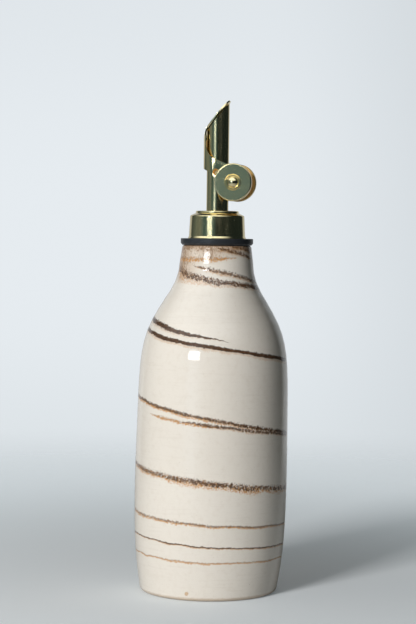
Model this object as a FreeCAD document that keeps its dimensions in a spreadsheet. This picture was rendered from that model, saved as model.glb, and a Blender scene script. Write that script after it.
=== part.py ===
import FreeCAD, Part

import math
import os

import Sketcher
from FreeCAD import Placement, Rotation, Vector

# Oil dispenser: a thrown, glazed clay bottle with a weighted pouring spout plugged into its neck.
# Frame: +Z up, origin at the centre of the foot, the spout's tip points to +X, the flap turns about Y.
# Lengths are in millimetres and angles in degrees.

os.makedirs("parts", exist_ok=True)
doc = FreeCAD.newDocument("oil_dispenser")


# ---------------------------------------------------------------- driving dimensions

SIZES = [
    # clay bottle: the outline's control points, from the foot up, as a radius at a height on its axis
    ("rim_height", 166.0, "table to the flat rim"),
    ("lean", 0.8, "how far the hand-thrown body leans towards +X"),
    ("foot_radius", 32.4, "outline, at the table"),
    ("hip_radius", 35.9, "outline, above the foot"),
    ("hip_height", 14.0, ""),
    ("belly_radius", 37.0, "outline, fullest part"),
    ("belly_height", 45.0, ""),
    ("waist_radius", 36.2, "outline, upper body"),
    ("waist_height", 85.0, ""),
    ("shoulder_radius", 35.8, "outline, where the shoulder starts to turn in"),
    ("shoulder_height", 118.0, ""),
    ("slope_radius", 28.8, "outline, on the shoulder"),
    ("slope_height", 133.0, ""),
    ("throat_radius", 23.6, "outline, foot of the neck"),
    ("throat_height", 141.0, ""),
    ("neck_radius", 17.0, "outline, neck"),
    ("neck_height", 152.0, ""),
    ("rim_radius", 16.6, "outline, top of the neck"),
    ("wall", 4.6, "clay wall"),
    ("floor", 6.0, "clay floor"),
    ("mouth_radius", 11.0, "bore of the neck"),
    ("foot_round", 1.9, "rounding of the foot"),
    ("lip_round", 1.5, "rounding of the rim's outer edge"),
    ("mouth_round", 0.8, "rounding of the rim's inner edge"),
    # rubber stopper
    ("flange_radius", 17.35, "disc that lies on the rim"),
    ("flange_thick", 3.2, ""),
    ("flange_chamfer", 0.9, "lower edge of the disc"),
    ("flange_edge", 0.3, "upper edge of the disc"),
    ("plug_core_radius", 7.8, "plug below the disc, between its fins"),
    ("plug_length", 23.0, "plug below the disc"),
    ("plug_nose", 2.5, "tapered end of the plug"),
    ("fin_gap", 0.25, "air between the top fin and the mouth"),
    ("fin_taper", 0.35, "each fin is smaller than the one above it by this"),
    ("fin_thick", 1.6, "fin at its root"),
    ("fin_edge", 0.7, "fin at its rim"),
    ("fin_pitch", 4.4, "from one fin to the next"),
    ("fin_start", 3.6, "disc to the middle of the top fin"),
    ("fins", 4, "how many"),
    # brass cap
    ("cap_radius", 13.5, "cap at the rubber disc"),
    ("cap_top_radius", 13.0, "cap at its shoulder"),
    ("cap_height", 10.9, "rubber disc to the shoulder"),
    ("cap_lip", 0.4, "flare round the foot of the cap"),
    ("cap_lip_height", 1.1, ""),
    ("cap_lip_edge", 0.25, "upright edge of the flare"),
    ("ring_radius", 10.3, "raised ring on the cap"),
    ("ring_slope", 1.3, "rise from the shoulder to the ring's foot"),
    ("ring_height", 1.0, "ring above its foot"),
    ("cap_round", 0.8, "rounded shoulder"),
    ("ring_round", 0.5, "rounded ring"),
    # brass spout tube
    ("tube_radius", 5.3, "outside"),
    ("tube_wall", 0.8, ""),
    ("tube_fit", 0.05, "air round the tube in the cap and the stopper"),
    ("tube_below", 1.5, "tube below the stopper"),
    ("tube_rise", 57.7, "rubber disc's top to the cut, on the tube's axis"),
    ("cut_angle", 51.4, "slope of the cut and of the lid, from level"),
    ("cut_edge", 0.2, "chamfer round the outside of the cut"),
    ("pivot_rise", 31.6, "rubber disc's top to the pivot"),
    ("pivot_hole_radius", 1.45, "holes in the tube"),
    # flap: one stamped sheet
    ("sheet", 0.75, "thickness of the flap's sheet"),
    ("saddle_gap", 0.8, "air between the saddle and the tube"),
    ("lid_gap", 0.35, "air between the lid and the cut"),
    ("lid_radius", 5.8, "lid, seen along the tube"),
    ("strip_angle", 78.0, "part of the turn that the strip covers"),
    ("bend_radius", 8.6, "outside of the bend between strip and lid"),
    ("saddle_low", 1.8, "pivot to the saddle's lower edge, at the back"),
    ("saddle_low_run", 3.2, "pivot to where that edge turns down, level"),
    ("wing_top", 5.9, "pivot to the wing's top edge, on the tube's axis"),
    ("wing_top_slope", 24.0, "fall of the wing's top edge"),
    ("sweep_radius", 8.6, "hollow edge that runs from the wing's top up into the strip"),
    ("sweep_turn", 62.0, "how far that edge turns"),
    ("wing_end_radius", 7.0, "rounded end of the wing, about the rivet"),
    ("dimple_radius", 1.4, "pressed dimple that turns in the tube's hole"),
    ("dimple_mouth_radius", 1.6, "hollow outside of the dimple"),
    ("dimple_reach", 1.2, "how far the dimple stands into the tube"),
    ("dimple_edge", 0.3, "chamfer round its end"),
    ("dimple_floor", 0.5, "sheet left at its end"),
    ("dimple_floor_radius", 0.77, "flat floor of the hollow"),
    # counterweight
    ("barrel_gap", 0.9, "air between the barrel and the tube"),
    ("rivet_drop", 4.8, "pivot down to the rivet"),
    ("rivet_radius", 1.6, "shank"),
    ("rivet_fit", 0.05, "air round the shank"),
    ("barrel_radius", 2.4, "spacer between the wings"),
    ("head_radius", 3.0, "domed head"),
    ("head_height", 2.3, ""),
    ("weight_radius", 9.0, "disc"),
    ("weight_thick", 2.3, ""),
    ("weight_edge", 0.6, "rounding of the disc"),
    ("dish_radius", 3.9, "shallow recess round the rivet's head"),
    ("dish_depth", 0.5, ""),
]

sheet = doc.addObject("Spreadsheet::Sheet", "Sizes")
for row, (alias, number, note) in enumerate(SIZES, 1):
    sheet.set(f"A{row}", alias)
    sheet.set(f"B{row}", str(number))
    sheet.set(f"C{row}", note)
    sheet.setAlias(f"B{row}", alias)
doc.recompute()


class Size:
    """A number worked out from the sheet, which also keeps the formula that it came from."""

    def __init__(self, value, formula):
        self.value = value
        self.formula = formula

    @staticmethod
    def of(number):
        return number if isinstance(number, Size) else Size(float(number), f"{float(number)}")

    def join(self, other, sign, value):
        return Size(value, f"({self.formula} {sign} {other.formula})")

    def __add__(self, other):
        other = Size.of(other)
        return self.join(other, "+", self.value + other.value)

    def __sub__(self, other):
        other = Size.of(other)
        return self.join(other, "-", self.value - other.value)

    def __mul__(self, other):
        other = Size.of(other)
        return self.join(other, "*", self.value * other.value)

    def __truediv__(self, other):
        other = Size.of(other)
        return self.join(other, "/", self.value / other.value)

    def __neg__(self):
        return Size(-self.value, f"(-1 * {self.formula})")

    __radd__ = __add__
    __rmul__ = __mul__


def sine(angle):
    return Size(math.sin(math.radians(angle.value)), f"sin({angle.formula})")


def cosine(angle):
    return Size(math.cos(math.radians(angle.value)), f"cos({angle.formula})")


def tangent(angle):
    return Size(math.tan(math.radians(angle.value)), f"tan({angle.formula})")


def square_root(amount):
    return Size(math.sqrt(amount.value), f"sqrt({amount.formula})")


def sagitta(radius, half_chord):
    return radius - square_root(radius * radius - half_chord * half_chord)


size = {alias: Size(float(sheet.get(alias)), f"Sizes.{alias}") for alias, number, note in SIZES}
ZERO = Size.of(0)

# Heights and radii that several pieces share.
axis_x = size["rim_height"] * tangent(size["lean"])
flange_top = size["rim_height"] + size["flange_thick"]
pivot_z = flange_top + size["pivot_rise"]
plug_end = size["rim_height"] - size["plug_length"]
tube_end = plug_end - size["tube_below"]
tube_bore = size["tube_radius"] - size["tube_wall"]
tube_seat = size["tube_radius"] + size["tube_fit"]
saddle_in = size["tube_radius"] + size["saddle_gap"]
saddle_out = saddle_in + size["sheet"]
strip_half = size["strip_angle"] / 2
lid_half_length = size["lid_radius"] / cosine(size["cut_angle"])
rivet_run = size["tube_radius"] + size["barrel_gap"] + size["barrel_radius"]
rivet_hole = size["rivet_radius"] + size["rivet_fit"]


# ---------------------------------------------------------------- sketching

def bind(item, path, amount):
    """Hold a property or a constraint of an object to the sheet's formula."""
    item.setExpression(path, amount.formula)


def new_sketch(body, name, plane, rise=None):
    """A sketch on one of the body's own planes, raised along the plane's normal."""
    sketch = body.newObject("Sketcher::SketchObject", name)
    support = [item for item in body.Origin.OriginFeatures if item.Role == plane]
    sketch.AttachmentSupport = [(support[0], "")]
    sketch.MapMode = "FlatFace"
    if rise is not None:
        bind(sketch, "AttachmentOffset.Base.z", rise)
    return sketch


def measure(sketch, kind, items, amount):
    """Add a dimension and bind it to the sheet."""
    index = sketch.addConstraint(Sketcher.Constraint(kind, *items, amount.value))
    bind(sketch, f"Constraints[{index}]", amount)


def fix_point(sketch, geometry, end, point):
    """Hold a point at its two distances from the sketch's origin."""
    measure(sketch, "DistanceX", (-1, 1, geometry, end), point[0])
    measure(sketch, "DistanceY", (-1, 1, geometry, end), point[1])


def vector(point):
    return Vector(point[0].value, point[1].value, 0)


def arc_between(start, end, radius, side):
    """The shorter arc from start to end, its centre to the left (side 1) or right (-1) of the chord."""
    chord = end - start
    middle = (start + end) / 2
    across = Vector(-chord.y, chord.x, 0).normalize()
    rise = math.sqrt(max(radius ** 2 - (chord.Length / 2) ** 2, 0))
    centre = middle + across * rise * side
    first = math.atan2(start.y - centre.y, start.x - centre.x)
    last = math.atan2(end.y - centre.y, end.x - centre.x)
    if side < 0:
        first, last = last, first
    return Part.ArcOfCircle(Part.Circle(centre, Vector(0, 0, 1), radius), first, last)


def outline(sketch, points, arcs=None):
    """A closed outline: lines from point to point, with arcs {index: (radius, side)} where given."""
    points = [(Size.of(x), Size.of(y)) for x, y in points]
    arcs = arcs or {}
    count = len(points)
    first = sketch.GeometryCount
    ends = []
    for index, point in enumerate(points):
        after = points[(index + 1) % count]
        if index in arcs:
            radius, side = arcs[index]
            sketch.addGeometry(arc_between(vector(point), vector(after), radius.value, side))
            ends.append((1, 2) if side > 0 else (2, 1))
        else:
            sketch.addGeometry(Part.LineSegment(vector(point), vector(after)))
            ends.append((1, 2))
    for index in range(count):
        following = (index + 1) % count
        sketch.addConstraint(Sketcher.Constraint(
            "Coincident", first + index, ends[index][1], first + following, ends[following][0]))
        fix_point(sketch, first + index, ends[index][0], points[index])
    for index, (radius, side) in arcs.items():
        measure(sketch, "Radius", (first + index,), radius)


def circle(sketch, radius, centre=(ZERO, ZERO)):
    index = sketch.addGeometry(Part.Circle(vector(centre), Vector(0, 0, 1), radius.value))
    measure(sketch, "Radius", (index,), radius)
    fix_point(sketch, index, 3, centre)


def spline(sketch, poles):
    """A smooth cubic curve whose control points are held to the sheet."""
    curve = Part.BSplineCurve()
    inner = len(poles) - 4
    knots = [step / (inner + 1) for step in range(inner + 2)]
    curve.buildFromPolesMultsKnots([vector(pole) for pole in poles], [4] + [1] * inner + [4], knots, False, 3)
    index = sketch.addGeometry(curve)
    sketch.exposeInternalGeometry(index)
    for step, pole in enumerate(poles):
        fix_point(sketch, index + 1 + step, 3, pole)
    return index


# ---------------------------------------------------------------- features

def new_body(label):
    body = doc.addObject("PartDesign::Body", label)
    body.Label = label
    return body


def revolve(body, name, sketch, axis="V_Axis", angle=None, cut=False):
    feature = body.newObject("PartDesign::Groove" if cut else "PartDesign::Revolution", name)
    feature.Profile = sketch
    feature.ReferenceAxis = (sketch, [axis])
    if angle is None:
        feature.Angle = 360
    else:
        feature.Midplane = True
        bind(feature, "Angle", angle)
    doc.recompute()
    return feature


def pad(body, name, sketch, length, midplane=False, reverse=False, cut=False):
    feature = body.newObject("PartDesign::Pocket" if cut else "PartDesign::Pad", name)
    feature.Profile = sketch
    feature.Midplane = midplane
    feature.Reversed = reverse
    bind(feature, "Length", length)
    doc.recompute()
    return feature


def dress(body, kind, name, amount, wanted):
    """Fillet or chamfer the edges of the body's tip that the test picks."""
    doc.recompute()
    base = body.Tip
    picked = [f"Edge{number}" for number, edge in enumerate(base.Shape.Edges, 1) if wanted(edge)]
    if not picked:
        raise ValueError(f"{name} finds no edge")
    feature = body.newObject(f"PartDesign::{kind}", name)
    feature.Base = (base, picked)
    bind(feature, "Radius" if kind == "Fillet" else "Size", amount)
    doc.recompute()
    return feature


def ring_at(radius, height, x=0.0):
    """Picks the round edge of a given radius and height about a vertical axis."""
    def wanted(edge):
        box = edge.BoundBox
        level = abs(box.ZMin - height) < 0.02 and abs(box.ZMax - height) < 0.02
        return level and abs(box.XLength / 2 - radius) < 0.4 and abs(box.Center.x - x) < 1.0
    return wanted


# ---------------------------------------------------------------- clay bottle

def bottle():
    body = new_body("bottle")
    profile = new_sketch(body, "bottle_profile", "XZ_Plane")
    profile.AttachmentOffset = Placement(Vector(), Rotation(Vector(0, 0, 1), -size["lean"].value))
    bind(profile, "AttachmentOffset.Rotation.Angle", -size["lean"])

    spare = Size.of(1)
    top = size["rim_height"] + spare
    names = ["hip", "belly", "waist", "shoulder", "slope", "throat", "neck"]
    outer = [(size["foot_radius"], -spare)]
    outer += [(size[f"{name}_radius"], size[f"{name}_height"]) for name in names]
    outer += [(size["rim_radius"], top)]

    corner = size["hip_radius"] - size["wall"]
    inner = [(corner * 0.75, size["floor"]), (corner, size["floor"])]
    inner += [(size[f"{name}_radius"] - size["wall"], size[f"{name}_height"]) for name in names[1:-1]]
    inner += [(size["mouth_radius"], size["neck_height"]), (size["mouth_radius"], top)]

    outside = spline(profile, outer)
    inside = spline(profile, inner)
    joins = [(inner[-1], outer[-1]), (inner[0], (ZERO, size["floor"])),
             ((ZERO, size["floor"]), (ZERO, -spare)), ((ZERO, -spare), outer[0])]
    first = profile.GeometryCount
    for start, end in joins:
        profile.addGeometry(Part.LineSegment(vector(start), vector(end)))
    rim_line, floor_line, axis_line, base_line = range(first, first + 4)
    for one, two in [((rim_line, 1), (inside, 2)), ((rim_line, 2), (outside, 2)),
                     ((floor_line, 1), (inside, 1)), ((floor_line, 2), (axis_line, 1)),
                     ((axis_line, 2), (base_line, 1)), ((base_line, 2), (outside, 1))]:
        profile.addConstraint(Sketcher.Constraint("Coincident", *one, *two))
    fix_point(profile, floor_line, 2, joins[1][1])
    fix_point(profile, base_line, 1, joins[3][0])
    revolve(body, "thrown_wall", profile)

    slab = size["hip_radius"] * 1.5
    foot = new_sketch(body, "foot_cut", "XY_Plane")
    circle(foot, slab)
    pad(body, "flat_foot", foot, spare * 5, cut=True)
    rim = new_sketch(body, "rim_cut", "XY_Plane", rise=size["rim_height"])
    circle(rim, slab)
    pad(body, "flat_rim", rim, spare * 5, reverse=True, cut=True)

    dress(body, "Fillet", "foot_round", size["foot_round"], ring_at(size["foot_radius"].value, 0))
    rim_z = size["rim_height"].value
    dress(body, "Fillet", "lip_round", size["lip_round"],
          ring_at(size["rim_radius"].value, rim_z, axis_x.value))
    dress(body, "Fillet", "mouth_round", size["mouth_round"],
          ring_at(size["mouth_radius"].value, rim_z, axis_x.value))
    return body


# ---------------------------------------------------------------- pourer, built about its own axis

def place_on_axis(body, height):
    """Stand a piece on the pourer's axis, its own origin at the given height."""
    bind(body, "Placement.Base.x", axis_x)
    bind(body, "Placement.Base.z", height)


def stopper():
    """Rubber disc and finned plug: the origin is the underside of the disc."""
    body = new_body("stopper")
    profile = new_sketch(body, "stopper_profile", "XZ_Plane")
    points = [
        (tube_seat, size["flange_thick"]),
        (size["flange_radius"], size["flange_thick"]),
        (size["flange_radius"], size["flange_chamfer"]),
        (size["flange_radius"] - size["flange_chamfer"], ZERO),
        (size["plug_core_radius"], ZERO),
        (size["plug_core_radius"], size["plug_nose"] - size["plug_length"]),
        (size["plug_core_radius"] - size["plug_nose"] / 3, -size["plug_length"]),
        (tube_seat, -size["plug_length"]),
    ]
    outline(profile, points)
    revolve(body, "plug", profile)
    fin = new_sketch(body, "fin_profile", "XZ_Plane")
    root = size["plug_core_radius"] - size["fin_thick"] / 2
    for step in range(int(size["fins"].value)):
        middle = -(size["fin_start"] + size["fin_pitch"] * step)
        tip = size["mouth_radius"] - size["fin_gap"] - size["fin_taper"] * step
        outline(fin, [
            (root, middle + size["fin_thick"] / 2),
            (tip, middle + size["fin_edge"] / 2),
            (tip, middle - size["fin_edge"] / 2),
            (root, middle - size["fin_thick"] / 2),
        ])
    revolve(body, "fins", fin)
    dress(body, "Fillet", "disc_edge", size["flange_edge"],
          ring_at(size["flange_radius"].value, size["flange_thick"].value))
    place_on_axis(body, size["rim_height"])
    return body


def cap():
    """Turned brass cap with a raised ring, on the rubber disc."""
    body = new_body("cap")
    profile = new_sketch(body, "cap_profile", "XZ_Plane")
    ring_foot = size["cap_height"] + size["ring_slope"]
    ring_top = ring_foot + size["ring_height"]
    outline(profile, [
        (tube_seat, ZERO),
        (size["cap_radius"] + size["cap_lip"], ZERO),
        (size["cap_radius"] + size["cap_lip"], size["cap_lip_edge"]),
        (size["cap_radius"], size["cap_lip_height"]),
        (size["cap_top_radius"], size["cap_height"]),
        (size["ring_radius"], ring_foot),
        (size["ring_radius"], ring_top),
        (tube_seat, ring_top),
    ])
    revolve(body, "turned_cap", profile)
    dress(body, "Fillet", "shoulder_round", size["cap_round"],
          ring_at(size["cap_top_radius"].value, size["cap_height"].value))
    dress(body, "Fillet", "ring_round", size["ring_round"],
          ring_at(size["ring_radius"].value, ring_top.value))
    place_on_axis(body, flange_top)
    return body


def spout_tube():
    """Brass tube, cut at a slope on top, with a hole on each side for the flap's dimples."""
    body = new_body("spout_tube")
    profile = new_sketch(body, "tube_profile", "XY_Plane")
    circle(profile, size["tube_radius"])
    circle(profile, tube_bore)
    below = flange_top - tube_end
    reach = size["tube_rise"] + size["tube_radius"] * tangent(size["cut_angle"]) + 2
    tube = pad(body, "tube", profile, below + reach)
    bind(profile, "AttachmentOffset.Base.z", -below)

    cut = new_sketch(body, "cut_profile", "XZ_Plane")
    side = size["tube_radius"] + 1
    fall = side * tangent(size["cut_angle"])
    outline(cut, [
        (-side, size["tube_rise"] - fall),
        (side, size["tube_rise"] + fall),
        (side, reach + side + fall),
        (-side, reach + side + fall),
    ])
    before = tube.Shape.Volume
    sliced = pad(body, "sloped_cut", cut, side * 2, midplane=True, cut=True)
    if sliced.Shape.Volume > before - 1:
        raise ValueError("the sloped cut removes nothing")

    holes = new_sketch(body, "pivot_holes", "XZ_Plane")
    circle(holes, size["pivot_hole_radius"], (ZERO, size["pivot_rise"]))
    pad(body, "drilled", holes, side * 2, midplane=True, cut=True)

    slant = size["tube_radius"] / cosine(size["cut_angle"])
    dress(body, "Chamfer", "cut_edge", size["cut_edge"], lambda edge: (
        isinstance(edge.Curve, Part.Ellipse) and abs(edge.Curve.MajorRadius - slant.value) < 0.01))
    place_on_axis(body, flange_top)
    return body


# ---------------------------------------------------------------- flap: its origin is the pivot

def lid_line(x, drop):
    """Height above the pivot of the lid's plane at x, lowered square to the plane by drop."""
    centre = size["tube_rise"] - size["pivot_rise"]
    lift = (size["lid_gap"] + size["sheet"] - drop) / cosine(size["cut_angle"])
    return centre + lift + x * tangent(size["cut_angle"])


def flap_saddle(body):
    """U-shaped sheet round the back of the tube, with a straight wing along each side."""
    wing_end = rivet_run + size["wing_end_radius"] + 1
    slope, turn = size["wing_top_slope"], size["sweep_turn"]
    chord = size["sweep_radius"] * 2 * sine(turn / 2)
    sweep_high = -saddle_out * cosine(strip_half)
    sweep_low = sweep_high + chord * cosine(slope + turn / 2)
    low_rise = size["wing_top"] - sweep_low * tangent(slope)
    top = low_rise + chord * sine(slope + turn / 2)
    bottom = size["rivet_drop"] + size["wing_end_radius"] + 1

    plan = new_sketch(body, "saddle_plan", "XY_Plane", rise=-bottom)
    outline(plan, [
        (wing_end, -saddle_out), (ZERO, -saddle_out), (-saddle_out, ZERO), (ZERO, saddle_out),
        (wing_end, saddle_out), (wing_end, saddle_in), (ZERO, saddle_in), (-saddle_in, ZERO),
        (ZERO, -saddle_in), (wing_end, -saddle_in),
    ], arcs={1: (saddle_out, -1), 2: (saddle_out, -1), 6: (saddle_in, 1), 7: (saddle_in, 1)})
    pad(body, "bent_sheet", plan, bottom + top)

    # What is trimmed away is all that lies outside the side view of saddle and wing.
    run, drop, end = rivet_run, -size["rivet_drop"], size["wing_end_radius"]
    left = -(saddle_out + 1)
    upper = (run + end * sine(slope), drop + end * cosine(slope))
    lowest = (run, drop - end)
    far = (run + end, drop)
    turned_down = (-size["saddle_low_run"], ZERO)
    back_fall = size["saddle_low"] / (saddle_out - size["saddle_low_run"])
    back = (left, (-left - size["saddle_low_run"]) * back_fall)
    near = (run - end * cosine(slope), drop - end * sine(slope))
    trim = new_sketch(body, "saddle_side", "XZ_Plane")
    edge = wing_end + 1
    edge_top = top + 1
    outline(trim, [(left - 1, -bottom - 1), (edge, -bottom - 1), (edge, edge_top + 1), (left - 1, edge_top + 1)])
    outline(trim, [back, turned_down, near, lowest, far, upper,
                   (sweep_low, low_rise), (sweep_high, top), (sweep_high, edge_top), (left, edge_top)],
            arcs={2: (end, 1), 3: (end, 1), 4: (end, 1), 6: (size["sweep_radius"], -1)})
    pad(body, "saddle_trim", trim, saddle_out * 3, midplane=True, cut=True)


def flap_strip(body):
    """The narrow strip up the back of the tube, as wide as the given part of a turn."""
    profile = new_sketch(body, "strip_profile", "XZ_Plane")
    low = size["wing_top"] / 2
    outline(profile, [(-saddle_out, low), (-saddle_in, low), (-saddle_in, bend_start()), (-saddle_out, bend_start())])
    revolve(body, "strip", profile, angle=size["strip_angle"])


def bend_start():
    """Height above the pivot where the strip starts to bend over into the lid."""
    return lid_line(-saddle_out, ZERO) - bend_reach()


def bend_reach():
    """From each end of the bend to the corner where strip and lid would meet without it."""
    return size["bend_radius"] * tangent((Size.of(90) - size["cut_angle"]) / 2)


def lid_foot():
    """Where the bend ends and the oval lid starts, from the lid's middle, and half its width there."""
    across = saddle_out - size["sheet"] * sine(size["cut_angle"])
    lower_end = bend_reach() - across / cosine(size["cut_angle"])
    share = lower_end / lid_half_length
    return lower_end, size["lid_radius"] * square_root(Size.of(1) - share * share)


def flap_bend(body):
    """The sheet bends over and flattens on the way from the round strip to the flat lid."""
    turn = Size.of(90) - size["cut_angle"]
    strip_width = saddle_out * sine(strip_half)
    inner_width = saddle_in * sine(strip_half)
    lid_width = lid_foot()[1]
    sections = []
    steps = 3
    for step in range(steps + 1):
        share = step / steps
        angle = turn * share
        half_width = strip_width + (lid_width - strip_width) * share
        inner_half = inner_width + (lid_width - inner_width) * share
        section = new_sketch(body, f"bend_section_{step}", "XY_Plane")
        centre_x = size["bend_radius"] - saddle_out
        x = centre_x - size["bend_radius"] * cosine(angle)
        z = bend_start() + size["bend_radius"] * sine(angle)
        section.AttachmentOffset = Placement(
            Vector(x.value, 0, z.value), Rotation(Vector(0, 1, 0), angle.value))
        bind(section, "AttachmentOffset.Base.x", x)
        bind(section, "AttachmentOffset.Base.z", z)
        bind(section, "AttachmentOffset.Rotation.Angle", angle)
        back = size["sheet"]
        if step == steps:
            outline(section, [(ZERO, -half_width), (back, -half_width), (back, half_width), (ZERO, half_width)])
        else:
            outer = saddle_out / (1 - share)
            inner = outer - back
            outer_sag = sagitta(outer, half_width)
            inner_sag = back + sagitta(inner, inner_half)
            outline(section, [
                (outer_sag, -half_width), (inner_sag, -inner_half), (inner_sag, inner_half), (outer_sag, half_width),
            ], arcs={1: (inner, -1), 3: (outer, 1)})
        sections.append(section)
    doc.recompute()
    loft = body.newObject("PartDesign::AdditiveLoft", "bend")
    loft.Profile = sections[0]
    loft.Sections = sections[1:]
    loft.Ruled = False
    doc.recompute()


def flap_lid(body):
    """Flat lid, parallel to the tube's cut: a disc seen along the tube, so an oval in its own plane."""
    oval = new_sketch(body, "lid_oval", "XY_Plane")
    angle = -size["cut_angle"]
    z = lid_line(ZERO, size["sheet"])
    oval.AttachmentOffset = Placement(Vector(0, 0, z.value), Rotation(Vector(0, 1, 0), angle.value))
    bind(oval, "AttachmentOffset.Base.z", z)
    bind(oval, "AttachmentOffset.Rotation.Angle", angle)

    shape = Part.Ellipse(Vector(lid_half_length.value, 0, 0), Vector(0, size["lid_radius"].value, 0), Vector())
    lower_end, half_width = lid_foot()
    reach = math.acos(lower_end.value / lid_half_length.value)
    index = oval.addGeometry(Part.ArcOfEllipse(shape, -reach, reach))
    oval.exposeInternalGeometry(index)
    oval.addConstraint(Sketcher.Constraint("Horizontal", index + 1))
    fix_point(oval, index, 3, (ZERO, ZERO))
    measure(oval, "Distance", (index + 1,), lid_half_length * 2)
    measure(oval, "Distance", (index + 2,), size["lid_radius"] * 2)
    closing = oval.addGeometry(Part.LineSegment(
        vector((lower_end, half_width)), vector((lower_end, -half_width))))
    oval.addConstraint(Sketcher.Constraint("Coincident", index, 2, closing, 1))
    oval.addConstraint(Sketcher.Constraint("Coincident", index, 1, closing, 2))
    measure(oval, "DistanceX", (-1, 1, closing, 1), lower_end)
    oval.addConstraint(Sketcher.Constraint("Vertical", closing))
    pad(body, "lid", oval, size["sheet"])


def flap_dimples(body):
    """A dimple pressed into each wing turns in the hole in the tube's side."""
    boss = new_sketch(body, "dimple_profile", "XY_Plane")
    inside = size["tube_radius"] - size["dimple_reach"] + size["sheet"] / 2
    outline(boss, [
        (ZERO, -inside), (size["dimple_radius"] - size["dimple_edge"], -inside),
        (size["dimple_radius"], -inside - size["dimple_edge"]),
        (size["dimple_radius"], -saddle_in - size["sheet"] / 2), (ZERO, -saddle_in - size["sheet"] / 2),
    ])
    added = revolve(body, "dimple", boss)
    hollow = new_sketch(body, "hollow_profile", "XY_Plane")
    floor = inside + size["dimple_floor"]
    outline(hollow, [
        (ZERO, -floor), (size["dimple_floor_radius"], -floor),
        (size["dimple_mouth_radius"], -saddle_out), (size["dimple_mouth_radius"], -saddle_out - 1),
        (ZERO, -saddle_out - 1),
    ])
    removed = revolve(body, "hollow", hollow, cut=True)
    mirror = body.newObject("PartDesign::Mirrored", "far_side_dimple")
    mirror.Originals = [added, removed]
    plane = [item for item in body.Origin.OriginFeatures if item.Role == "XZ_Plane"][0]
    mirror.MirrorPlane = (plane, [""])
    body.Tip = mirror
    doc.recompute()


def flap():
    body = new_body("flap")
    flap_saddle(body)
    flap_strip(body)
    flap_bend(body)
    flap_lid(body)
    flap_dimples(body)
    holes = new_sketch(body, "rivet_holes", "XZ_Plane")
    circle(holes, rivet_hole, (rivet_run, -size["rivet_drop"]))
    pad(body, "punched", holes, saddle_out * 3, midplane=True, cut=True)
    place_on_axis(body, pivot_z)
    return body


# ---------------------------------------------------------------- counterweight

def place_at_rivet(body, along, angle):
    """Lay a piece turned about Z onto the rivet's axis, its own origin at the given y."""
    body.Placement = Placement(Vector(), Rotation(Vector(1, 0, 0), angle))
    bind(body, "Placement.Base.x", axis_x + rivet_run)
    bind(body, "Placement.Base.y", along)
    bind(body, "Placement.Base.z", pivot_z - size["rivet_drop"])


def weight(label, side):
    """Brass disc outside a wing, with a shallow dish round the rivet's head; +Z points outwards."""
    body = new_body(label)
    profile = new_sketch(body, f"{label}_profile", "XZ_Plane")
    thick = size["weight_thick"]
    outline(profile, [
        (rivet_hole, ZERO), (size["weight_radius"], ZERO), (size["weight_radius"], thick),
        (size["dish_radius"], thick), (size["dish_radius"] - size["dish_depth"], thick - size["dish_depth"]),
        (rivet_hole, thick - size["dish_depth"]),
    ])
    revolve(body, f"{label}_disc", profile)
    rims = (ring_at(size["weight_radius"].value, 0), ring_at(size["weight_radius"].value, thick.value))
    dress(body, "Fillet", f"{label}_edge", size["weight_edge"], lambda edge: any(rim(edge) for rim in rims))
    place_at_rivet(body, saddle_out * side, -90 * side)
    return body


def rivet():
    """One rivet through wings and discs, with a barrel between the wings and two domed heads."""
    body = new_body("rivet")
    profile = new_sketch(body, "rivet_profile", "XZ_Plane")
    seat = saddle_out + size["weight_thick"] - size["dish_depth"]
    crown = seat + size["head_height"]
    dome = (size["head_radius"] * size["head_radius"] + size["head_height"] * size["head_height"]) \
        / (size["head_height"] * 2)
    outline(profile, [
        (ZERO, -crown), (size["head_radius"], -seat), (size["rivet_radius"], -seat),
        (size["rivet_radius"], -saddle_in), (size["barrel_radius"], -saddle_in),
        (size["barrel_radius"], saddle_in), (size["rivet_radius"], saddle_in),
        (size["rivet_radius"], seat), (size["head_radius"], seat), (ZERO, crown),
    ], arcs={0: (dome, 1), 8: (dome, 1)})
    revolve(body, "riveted", profile)
    place_at_rivet(body, ZERO, 90)
    return body


# ---------------------------------------------------------------- build, check and write

pieces = [
    bottle(), stopper(), cap(), spout_tube(),
    flap(), weight("weight_near", -1), weight("weight_far", 1), rivet(),
]
doc.recompute()

for item in doc.Objects:
    if "Invalid" in item.State or "Error" in item.State:
        raise RuntimeError(f"{item.Label} failed: {item.State}")
for piece in pieces:
    if piece.Shape.isNull() or not piece.Shape.isValid():
        raise RuntimeError(f"{piece.Label} is not a sound solid")
    if len(piece.Shape.Solids) != 1:
        raise RuntimeError(f"{piece.Label} has {len(piece.Shape.Solids)} solids")
    piece.Shape.exportStep(f"parts/{piece.Label}.step")
    print(f"{piece.Label}: {piece.Shape.Volume:.0f} mm3")
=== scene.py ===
"""Looks of a clay oil bottle with a brass pouring spout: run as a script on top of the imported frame."""

import math

import bmesh
import bpy
from mathutils import Matrix, Vector


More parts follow.
